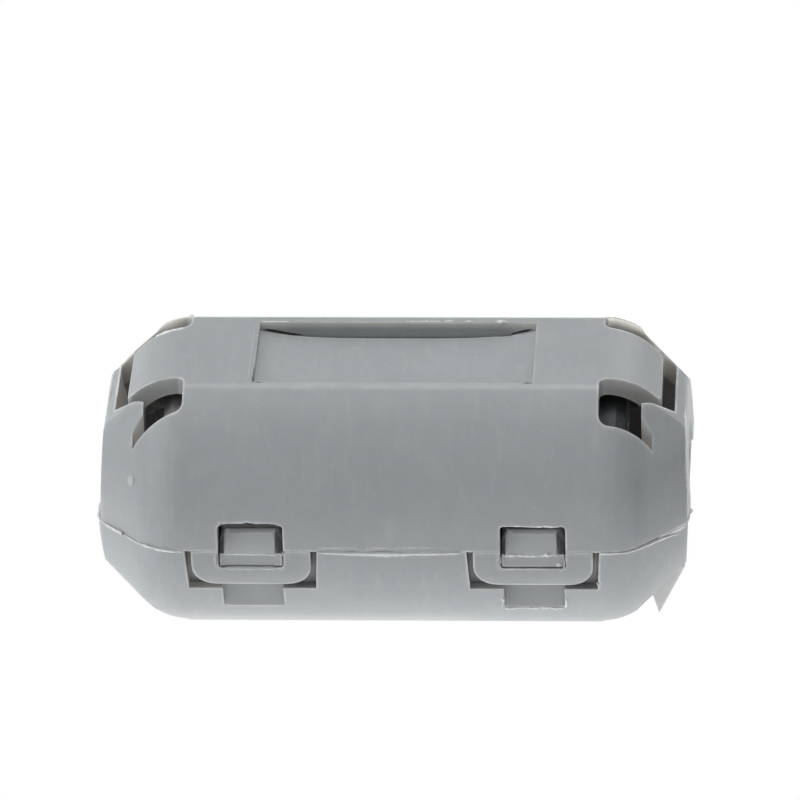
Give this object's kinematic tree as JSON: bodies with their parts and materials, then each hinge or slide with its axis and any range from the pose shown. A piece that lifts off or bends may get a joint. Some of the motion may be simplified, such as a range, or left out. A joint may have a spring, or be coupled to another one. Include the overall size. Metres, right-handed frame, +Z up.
{
  "type": "clip-on ferrite bead",
  "caption": "Grey clip-on ferrite bead: a hinged barrel case that snaps shut round a thin cable with windowed latch tabs and holds a split ferrite core.",
  "frame": {"origin": "middle of the cable hole, on the plane where the two halves meet", "axes": "+X along the cable, -Y towards the latches, +Z up through the dished panel in the top"},
  "size_m": [0.0249, 0.0138, 0.0116],
  "materials": {
    "case_plastic": "fine-grained grey moulded polypropylene",
    "ferrite": "matt dark grey sintered ferrite"
  },
  "bodies": {
    "lower": {"lower_shell": "case_plastic", "lower_ferrite": "ferrite", "left_hinge_strap": "case_plastic", "right_hinge_strap": "case_plastic"},
    "upper": {"upper_shell": "case_plastic", "upper_ferrite": "ferrite"},
    "left_tab": {"left_latch": "case_plastic"},
    "right_tab": {"right_latch": "case_plastic"}
  },
  "joints": [
    {"name": "lid_hinge", "type": "hinge", "parent": "lower", "child": "upper", "pos_m": [0, 0.00723, 0], "axis": [-1, 0, 0], "range_deg": [0, 180], "deforming": ["left_hinge_strap", "right_hinge_strap", "left_latch", "right_latch"]},
    {"name": "left_latch_flex", "type": "hinge", "parent": "upper", "child": "left_tab", "pos_m": [-0.00583, -0.00643, 0], "axis": [-1, 0, 0], "range_deg": [0, 20], "stiffness_Nm_per_rad": 0.002},
    {"name": "right_latch_flex", "type": "hinge", "parent": "upper", "child": "right_tab", "pos_m": [0.00598, -0.00643, 0], "axis": [-1, 0, 0], "range_deg": [0, 20], "stiffness_Nm_per_rad": 0.002}
  ]
}
